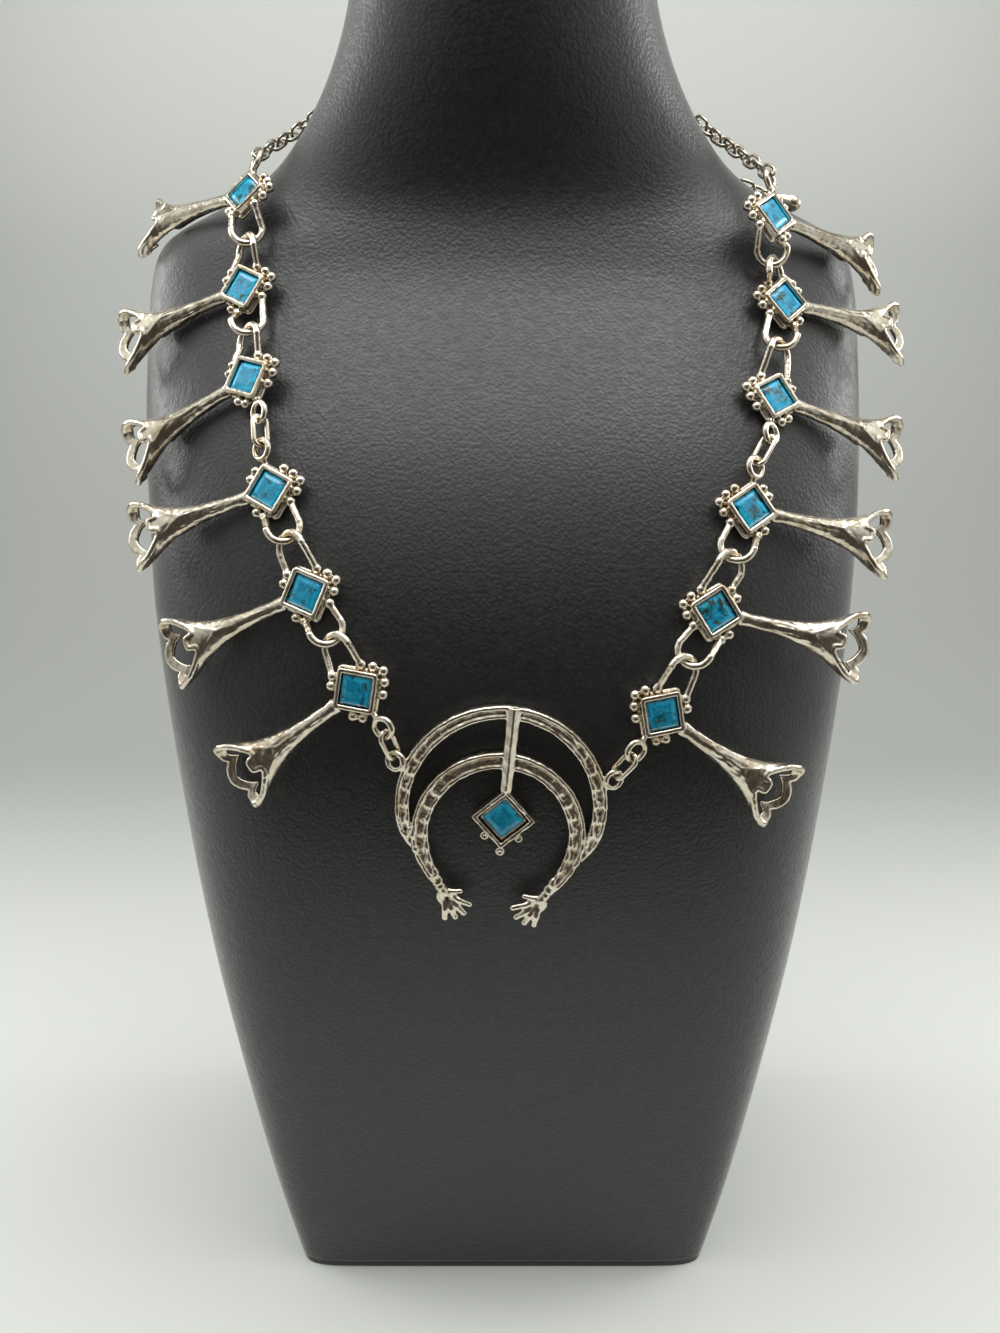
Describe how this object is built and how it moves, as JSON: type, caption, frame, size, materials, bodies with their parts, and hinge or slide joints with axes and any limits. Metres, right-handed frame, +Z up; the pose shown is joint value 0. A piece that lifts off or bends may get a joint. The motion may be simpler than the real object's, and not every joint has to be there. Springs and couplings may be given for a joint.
{
  "type": "squash blossom necklace on a neck bust",
  "caption": "Cast silver squash blossom necklace with square turquoise stones and a double crescent pendant, on a black leather neck bust.",
  "frame": {"origin": "middle of the bust's base, on the surface that it stands on", "axes": "+Z up, the bust and necklace face -Y, +X to the right as they are seen from the front"},
  "size_m": [0.2232, 0.1452, 0.39],
  "materials": {
    "leather": "black pebbled leather, softly glossy",
    "silver": "cast silver, polished on the high places and dark in the low ones",
    "turquoise": "polished blue turquoise with brown and dark veins",
    "chain_silver": "darkened silver, lightly polished"
  },
  "bodies": {
    "root": {"neck_bust": "leather", "blossom_left_1": "silver", "blossom_left_2": "silver", "blossom_left_3": "silver", "blossom_left_4": "silver", "blossom_left_5": "silver", "blossom_left_6": "silver", "blossom_right_1": "silver", "blossom_right_2": "silver", "blossom_right_3": "silver", "blossom_right_4": "silver", "blossom_right_5": "silver", "blossom_right_6": "silver", "stone_left_1": "turquoise", "stone_left_2": "turquoise", "stone_left_3": "turquoise", "stone_left_4": "turquoise", "stone_left_5": "turquoise", "stone_left_6": "turquoise", "stone_right_1": "turquoise", "stone_right_2": "turquoise", "stone_right_3": "turquoise", "stone_right_4": "turquoise", "stone_right_5": "turquoise", "stone_right_6": "turquoise", "oval_link_left": "silver", "oval_link_right": "silver", "naja_link_left": "silver", "naja_link_right": "silver", "naja": "silver", "naja_stone": "turquoise", "chain_left": "chain_silver", "chain_right": "chain_silver", "clasp": "chain_silver", "extender_chain": "chain_silver", "extender_drop": "chain_silver"}
  },
  "joints": []
}
